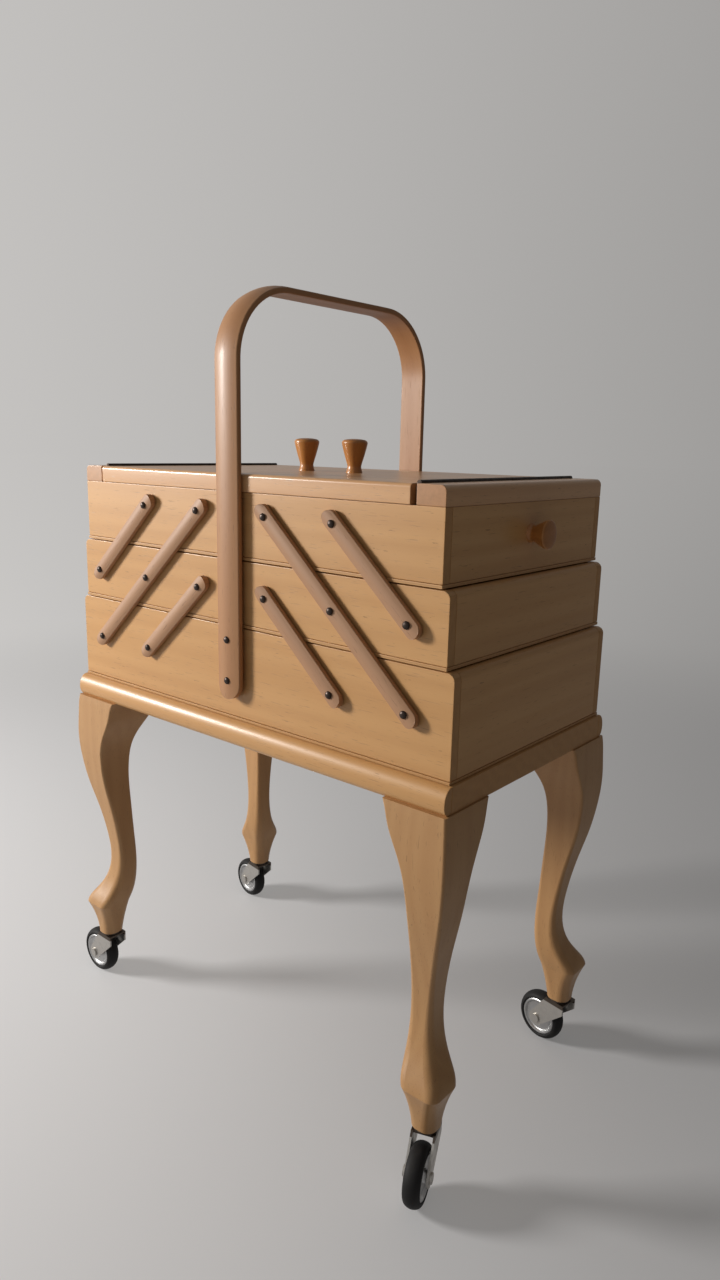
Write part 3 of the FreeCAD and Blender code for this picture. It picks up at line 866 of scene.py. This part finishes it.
# ---- Screws, as one node tree on the points where they stand ----
def screw_tree():
    """Geometry nodes: a domed screw at every point, turned to the point's facing."""
    tree = bpy.data.node_groups.new("Domed screws", "GeometryNodeTree")
    interface = tree.interface
    interface.new_socket("Geometry", in_out="INPUT", socket_type="NodeSocketGeometry")
    for name in ("Head radius", "Head rise", "Shank radius", "Shank length", "Washer radius",
                 "Washer thickness"):
        interface.new_socket(name, in_out="INPUT", socket_type="NodeSocketFloat")
    interface.new_socket("Material", in_out="INPUT", socket_type="NodeSocketMaterial")
    interface.new_socket("Geometry", in_out="OUTPUT", socket_type="NodeSocketGeometry")

    def add(kind, values=None, **settings):
        node = tree.nodes.new(kind)
        for key, value in settings.items():
            setattr(node, key, value)
        for key, value in (values or {}).items():
            if isinstance(value, bpy.types.NodeSocket):
                tree.links.new(value, node.inputs[key])
            else:
                node.inputs[key].default_value = value
        return node.outputs

    def joined(*parts):
        node = tree.nodes.new("GeometryNodeJoinGeometry")
        for part in parts:
            tree.links.new(part, node.inputs[0])
        return node.outputs[0]

    given = add("NodeGroupInput")
    ball = add("GeometryNodeMeshUVSphere", {"Segments": 28, "Rings": 14, "Radius": given["Head radius"]})
    flat = add("ShaderNodeMath", {0: given["Head rise"], 1: given["Head radius"]}, operation="DIVIDE")
    squash = add("ShaderNodeCombineXYZ", {"X": 1.0, "Y": 1.0, "Z": flat[0]})
    dome = add("GeometryNodeTransform", {"Geometry": ball["Mesh"], "Scale": squash[0]})
    shank = add("GeometryNodeMeshCylinder", {"Vertices": 20, "Radius": given["Shank radius"],
                                             "Depth": given["Shank length"]})
    half = add("ShaderNodeMath", {0: given["Shank length"], 1: -0.5}, operation="MULTIPLY")
    down = add("ShaderNodeCombineXYZ", {"Z": half[0]})
    lowered = add("GeometryNodeTransform", {"Geometry": shank["Mesh"], "Translation": down[0]})
    washer = add("GeometryNodeMeshCylinder", {"Vertices": 28, "Radius": given["Washer radius"],
                                              "Depth": given["Washer thickness"]})
    screw = joined(dome["Geometry"], lowered["Geometry"])
    facing = add("GeometryNodeInputNamedAttribute", {"Name": "facing"}, data_type="FLOAT_VECTOR")
    turned = add("FunctionNodeAlignRotationToVector", {"Vector": facing["Attribute"]}, axis="Z")
    screws = add("GeometryNodeInstanceOnPoints", {"Points": given["Geometry"], "Instance": screw,
                                                  "Rotation": turned["Rotation"]})
    # A washer stands between the board and the arm at every pivot
    depth = add("GeometryNodeInputNamedAttribute", {"Name": "washer_depth"}, data_type="FLOAT")
    sunk = add("ShaderNodeVectorMath", {0: facing["Attribute"], "Scale": depth["Attribute"]},
               operation="SCALE")
    moved = add("GeometryNodeSetPosition", {"Geometry": given["Geometry"], "Offset": sunk[0]})
    has_washer = add("FunctionNodeCompare", {0: depth["Attribute"], 1: 0.0}, data_type="FLOAT",
                     operation="LESS_THAN")
    washers = add("GeometryNodeInstanceOnPoints", {"Points": moved[0], "Instance": washer["Mesh"],
                                                   "Selection": has_washer[0],
                                                   "Rotation": turned["Rotation"]})
    real = add("GeometryNodeRealizeInstances", {"Geometry": joined(screws[0], washers[0])})
    coloured = add("GeometryNodeSetMaterial", {"Geometry": real[0], "Material": given["Material"]})
    add("NodeGroupOutput", {"Geometry": coloured[0]})
    return tree


def screw_points(name, stands):
    """A mesh of points from (position, facing, washer depth)."""
    mesh = bpy.data.meshes.new(name)
    mesh.from_pydata([stand[0] for stand in stands], [], [])
    mesh.attributes.new("facing", "FLOAT_VECTOR", "POINT")
    mesh.attributes.new("washer_depth", "FLOAT", "POINT")
    for number, (_, direction, washer) in enumerate(stands):
        mesh.attributes["facing"].data[number].vector = direction
        mesh.attributes["washer_depth"].data[number].value = washer
    return linked(name, mesh)


def evaluated_mesh(made, tree, inputs):
    """The plain mesh that a node tree makes of an object, which then has no modifier."""
    modifier = made.modifiers.new("Nodes", "NODES")
    modifier.node_group = tree
    for socket in tree.interface.items_tree:
        if socket.in_out == "INPUT" and socket.name in inputs:
            modifier[socket.identifier] = inputs[socket.name]
    graph = bpy.context.evaluated_depsgraph_get()
    mesh = bpy.data.meshes.new_from_object(made.evaluated_get(graph), depsgraph=graph)
    made.modifiers.remove(modifier)
    made.data = mesh
    return made


class ScrewsOperator(bpy.types.Operator):
    """Set the domed screws and washers of the arms and the screws of the handle"""

    bl_idname = "sewing_box.screws"
    bl_label = "Screws"

    def execute(self, context):
        sizes = context.scene.sewing_box_arms
        tree = screw_tree()
        pivots = [(sign, column, 2) for sign in SIDES.values() for column in (1, 2)]
        groups = {"cabinet": ("box_pivot_screws", pivots)}
        for side, sign in SIDES.items():
            groups[side + "_middle_tray"] = (side + "_middle_tray_screws", [(sign, c, 1) for c in (0, 1, 2)])
            groups[side + "_top_tray"] = (side + "_top_tray_screws", [(sign, c, 0) for c in (0, 1)])
        for body, (node, pivots) in groups.items():
            low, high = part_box(node)
            base = high.y - sizes.screw_rise
            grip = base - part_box("box_sides")[1].y
            washer_depth = 0.5 * (grip - sizes.thickness) - grip
            stands = []
            for sign, column, row in pivots:
                for face in FACES.values():
                    at = Vector((sign * COLUMNS[column], face * base, ROWS[row]))
                    stands.append((at, (0, face, 0), washer_depth))
            self.screws(sizes, tree, body + "_pivot_screws", body, node, stands, grip)
        low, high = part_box("handle_screws")
        base = high.y - sizes.screw_rise
        stands = []
        for height in (low.z + sizes.screw_radius, high.z - sizes.screw_radius):
            for face in FACES.values():
                stands.append((Vector((0, face * base, height)), (0, face, 0), 0.0))
        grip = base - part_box("box_sides")[1].y
        self.screws(sizes, tree, "handle_domed_screws", "cabinet", "handle_screws", stands, grip)
        return {"FINISHED"}

    def screws(self, sizes, tree, name, body, node, stands, grip):
        inputs = {"Head radius": sizes.screw_radius, "Head rise": sizes.screw_rise,
                  "Shank radius": sizes.shank_radius, "Shank length": grip + sizes.bite,
                  "Washer radius": sizes.washer_radius, "Washer thickness": sizes.washer_thickness,
                  "Material": MATERIALS["dark_screws"]}
        made = evaluated_mesh(screw_points(name, stands), tree, inputs)
        placed(made, body, "dark_screws", [node])


class HandleOperator(bpy.types.Operator):
    """Bend the handle strip over the box and set its spacer blocks"""

    bl_idname = "sewing_box.handle"
    bl_label = "Handle"

    def execute(self, context):
        sizes = context.scene.sewing_box_handle
        low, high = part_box("handle")
        half_w = (high.x - low.x) / 2
        section = crowned_section(half_w, sizes.thickness, sizes.crown, sizes.edge)
        path, total = self.bent_path(sizes.bend, low, high)
        solid, grain = crowned_strip(path, total, half_w, section, sizes.crown, 150)
        handle = Piece()
        handle.add(solid, (0, 0, 1), grain=grain)
        handle.done("bent_handle", "cabinet", "bent_wood", ["handle"])
        low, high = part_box("handle_spacers")
        board_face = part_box("box_sides")[1].y
        blocks = Piece()
        for face in FACES.values():
            y0, y1 = sorted((face * board_face, face * high.y))
            block = plank((low.x, y0, low.z), (high.x, y1, high.z), sizes.block_edge)
            blocks.add(block, (0, 0, 1), (1, 0, 0))
        blocks.done("handle_spacer_blocks", "cabinet", "bent_wood", ["handle_spacers"])
        return {"FINISHED"}

    def bent_path(self, bend, low, high):
        """The outer face's middle line from foot to foot, as point, outward and across, and its length."""
        post = high.z - bend - low.z
        top = 2 * (high.y - bend)
        turn = 0.5 * math.pi * bend
        total = 2 * post + 2 * turn + top
        across = Vector((1, 0, 0))

        def half_path(s):
            """From the foot on the front up to the middle of the top."""
            if s < post:
                return Vector((0, low.y, low.z + s)), Vector((0, -1, 0))
            if s < post + turn:
                angle = (s - post) / bend
                out = Vector((0, -math.cos(angle), math.sin(angle)))
                return Vector((0, low.y + bend, high.z - bend)) + out * bend, out
            return Vector((0, low.y + bend + s - post - turn, high.z)), Vector((0, 0, 1))

        def path(s):
            if s <= total / 2:
                point, out = half_path(s)
                return point, out, across
            point, out = half_path(total - s)
            mirror = Matrix.Diagonal((1, -1, 1))
            return mirror @ point, mirror @ out, across

        return path, total


class BaseOperator(bpy.types.Operator):
    """Make the base board with its mouldings and finish the legs"""

    bl_idname = "sewing_box.base"
    bl_label = "Base and Legs"

    def execute(self, context):
        sizes = context.scene.sewing_box_case
        low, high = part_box("base_board")
        single(plank(low, high, sizes.edge), (1, 0, 0), (0, 1, 0), "base_plank", "cabinet", "case_wood",
               "base_board")
        wide_low, wide_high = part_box("base_mouldings")
        mouldings = Piece()
        for face in FACES.values():
            inner = face * high.y
            out = wide_high.y - high.y
            solid = self.moulding(sizes, wide_low.x, wide_high.x, inner, face * out, wide_high.z)
            mouldings.add(solid, (1, 0, 0), (0, 1, 0))
        mouldings.done("base_mouldings_pair", "cabinet", "case_wood", ["base_mouldings"])
        for node in ("front_legs", "back_legs"):
            finish_node(node, "leg_wood")
        return {"FINISHED"}

    def moulding(self, sizes, x0, x1, inner, out, top):
        """A half-round nose: a wide curve from the top to the nose and a tight one under it."""
        nose_z = sizes.nose_height * top
        under_z = 0.05 * top
        throat = 0.58 * out
        profile = [(inner, 0.0), (inner + sizes.nose_under * out, 0.0)]
        steps = 6
        for number in range(1, steps + 1):
            turn = 0.5 * math.pi * number / steps
            profile.append((inner + throat + (out - throat) * math.sin(turn),
                            under_z + (nose_z - under_z) * (1 - math.cos(turn))))
        steps = 12
        for number in range(1, steps + 1):
            turn = 0.5 * math.pi * number / steps
            profile.append((inner + out * math.cos(turn) ** 0.9, nose_z + (top - nose_z) * math.sin(turn)))
        solid = prism(profile, Matrix.Translation((x0, 0, 0)) @ YZ_RIGHT, x1 - x0)
        soften(solid, sizes.moulding_edge, wanted=lambda e: abs(e.verts[0].co.x - e.verts[1].co.x) < 1e-6)
        return solid


class CastersOperator(bpy.types.Operator):
    """Make the wheels of the casters and finish their forks and stems"""

    bl_idname = "sewing_box.casters"
    bl_label = "Casters"

    def execute(self, context):
        sizes = context.scene.sewing_box_wheels
        roll_axis = {joint["name"]: Vector(joint["axis"]) for joint in frame["joints"]}
        for corner in CORNERS:
            finish_node(corner + "_caster_fork", "nickel")
            turn = Vector((0, 0, 1)).rotation_difference(roll_axis[corner + "_roll"]).to_matrix().to_4x4()
            place = Matrix.Translation(JOINT_AT[corner + "_roll"]) @ turn
            hub_node = corner + "_caster_hub"
            tyre_node = corner + "_caster_tyre"
            rim = node_radius(hub_node)
            hub = lathe(self.hub_profile(sizes, rim), place)
            single(hub, (0, 0, 1), None, corner + "_pressed_hub", corner + "_wheel", "hub_metal", hub_node)
            tyre = lathe(self.tyre_profile(sizes, rim, node_radius(tyre_node)), place)
            single(tyre, (0, 0, 1), None, corner + "_rubber_tyre", corner + "_wheel", "tyre_rubber", tyre_node)
        finish_node("caster_stems", "nickel")
        return {"FINISHED"}

    def hub_profile(self, sizes, rim):
        """Boss, dished disc and rolled rim, from the middle of one side to the middle of the other."""
        boss, boss_r, disc, lip = sizes.boss, sizes.boss_radius, sizes.disc, sizes.lip
        side = [(0.0, boss), (boss_r - 0.5 * MM, boss), (boss_r, boss - 0.5 * MM),
                (boss_r + 0.8 * MM, disc + 0.4 * MM), (boss_r + 1.8 * MM, disc), (rim - 4.8 * MM, disc),
                (rim - 3.6 * MM, disc + 0.5 * MM), (rim - 2.6 * MM, lip - 0.3 * MM),
                (rim - 1.8 * MM, lip), (rim - 0.9 * MM, lip - 0.2 * MM),
                (rim, lip - 1.0 * MM)]
        return side + [(radius, -height) for radius, height in reversed(side)]

    def tyre_profile(self, sizes, rim, outer):
        """A ring with a round tread."""
        steps = 14
        turns = [math.pi * (0.5 - number / steps) for number in range(steps + 1)]
        tread = [(outer - sizes.tread * (1 - math.cos(turn)), sizes.half_width * math.sin(turn))
                 for turn in turns]
        bead = sizes.half_width - sizes.bead
        return [(rim, bead)] + tread + [(rim, -bead)]


# ---- Stage ----
CAMERA_AT = (0.5726, -0.6349, 0.2673)
CAMERA_YAW = math.radians(39.883)
CAMERA_PITCH = math.radians(-12.561)
CAMERA_ROLL = math.radians(1.272)
KEY_AT = (-1.52, -1.22, 0.60)
AWAY_FROM_LIGHT = (0.767, 0.641, 0.0)
FLOOR_FADE = (0.95, 2.3)    # where the floor turns into the backdrop
FLOOR_HALF = 30.0
KEY_TINT = (1.0, 0.975, 0.94)
KEY_TOWARDS = (0.0, 0.0, 0.05)
SENSOR_WIDTH = 36.0         # of the camera, in millimetres


class StageOperator(bpy.types.Operator):
    """Lay the floor, hang the lights and stand the camera"""

    bl_idname = "sewing_box.stage"
    bl_label = "Stage"

    def execute(self, context):
        scene = context.scene
        stage = scene.sewing_box_stage
        self.floor(stage, CAD_BOX[0].z)
        self.key_light(stage)
        self.surroundings(scene, stage)
        scene.view_settings.view_transform = "Standard"
        camera_data = bpy.data.cameras.new("Camera")
        camera_data.lens = stage.lens / MM
        camera_data.sensor_width = SENSOR_WIDTH
        camera_data.clip_start = 0.02
        camera = linked("Camera", camera_data)
        turn = Matrix.Rotation(CAMERA_YAW, 4, "Z") @ Matrix.Rotation(math.pi / 2 + CAMERA_PITCH, 4, "X")
        camera.matrix_world = Matrix.Translation(CAMERA_AT) @ turn @ Matrix.Rotation(CAMERA_ROLL, 4, "Z")
        scene.camera = camera
        return {"FINISHED"}

    def surroundings(self, scene, stage):
        """A plain backdrop that is bright where it is seen or mirrored and lights the box only weakly."""
        world = bpy.data.worlds.new("Surroundings")
        nodes = Nodes(world)
        direction = nodes.add("ShaderNodeTexCoord")["Generated"]
        sky = nodes.add("ShaderNodeBackground", {}, {"Color": (*stage.backdrop, 1.0),
                                                     "Strength": backdrop_light(nodes, direction, stage)})
        nodes.add("ShaderNodeOutputWorld", {}, {"Surface": sky["Background"]})
        scene.world = world

    def floor(self, stage, floor_z):
        mesh = bpy.data.meshes.new("Floor")
        corners = [(-FLOOR_HALF, -FLOOR_HALF), (FLOOR_HALF, -FLOOR_HALF), (FLOOR_HALF, FLOOR_HALF),
                   (-FLOOR_HALF, FLOOR_HALF)]
        mesh.from_pydata([(x, y, floor_z) for x, y in corners], [], [(0, 1, 2, 3)])
        mesh.materials.append(floor_finish("Pale_floor", stage))
        linked("Floor", mesh)

    def key_light(self, stage):
        data = bpy.data.lights.new("Key", "AREA")
        data.shape = "DISK"
        data.size = stage.key_size
        data.energy = stage.key_power
        data.color = KEY_TINT
        aim = (Vector(KEY_AT) - Vector(KEY_TOWARDS)).to_track_quat("Z", "Y").to_matrix().to_4x4()
        linked("Key", data).matrix_world = Matrix.Translation(KEY_AT) @ aim


OPERATORS = (MaterialsOperator, TiersOperator, LidsOperator, KnobsOperator, ArmsOperator, ScrewsOperator,
             HandleOperator, BaseOperator, CastersOperator, StageOperator)
GROUPS = {
    "sewing_box_case": CaseSizes,
    "sewing_box_arms": ArmSizes,
    "sewing_box_handle": HandleSizes,
    "sewing_box_knobs": KnobSizes,
    "sewing_box_wheels": WheelSizes,
    "sewing_box_finishes": Finishes,
    "sewing_box_stage": StageSettings,
}


class SewingBoxPanel(bpy.types.Panel):
    """Sizes, colours and steps of the sewing box"""

    bl_idname = "VIEW3D_PT_sewing_box"
    bl_label = "Sewing Box"
    bl_space_type = "VIEW_3D"
    bl_region_type = "UI"
    bl_category = "Sewing Box"

    def draw(self, context):
        for group, kind in GROUPS.items():
            box = self.layout.box()
            for name in kind.__annotations__:
                box.prop(getattr(context.scene, group), name)
        for operator in OPERATORS:
            self.layout.operator(operator.bl_idname)


def register():
    for kind in (*GROUPS.values(), *OPERATORS, SewingBoxPanel):
        bpy.utils.register_class(kind)
    for group, kind in GROUPS.items():
        setattr(bpy.types.Scene, group, bpy.props.PointerProperty(type=kind))


def unregister():
    for group in GROUPS:
        delattr(bpy.types.Scene, group)
    for kind in (SewingBoxPanel, *reversed(OPERATORS), *reversed(GROUPS.values())):
        bpy.utils.unregister_class(kind)


def main():
    register()
    for operator in OPERATORS:
        group, name = operator.bl_idname.split(".")
        getattr(getattr(bpy.ops, group), name)()


if __name__ == "__main__":
    main()
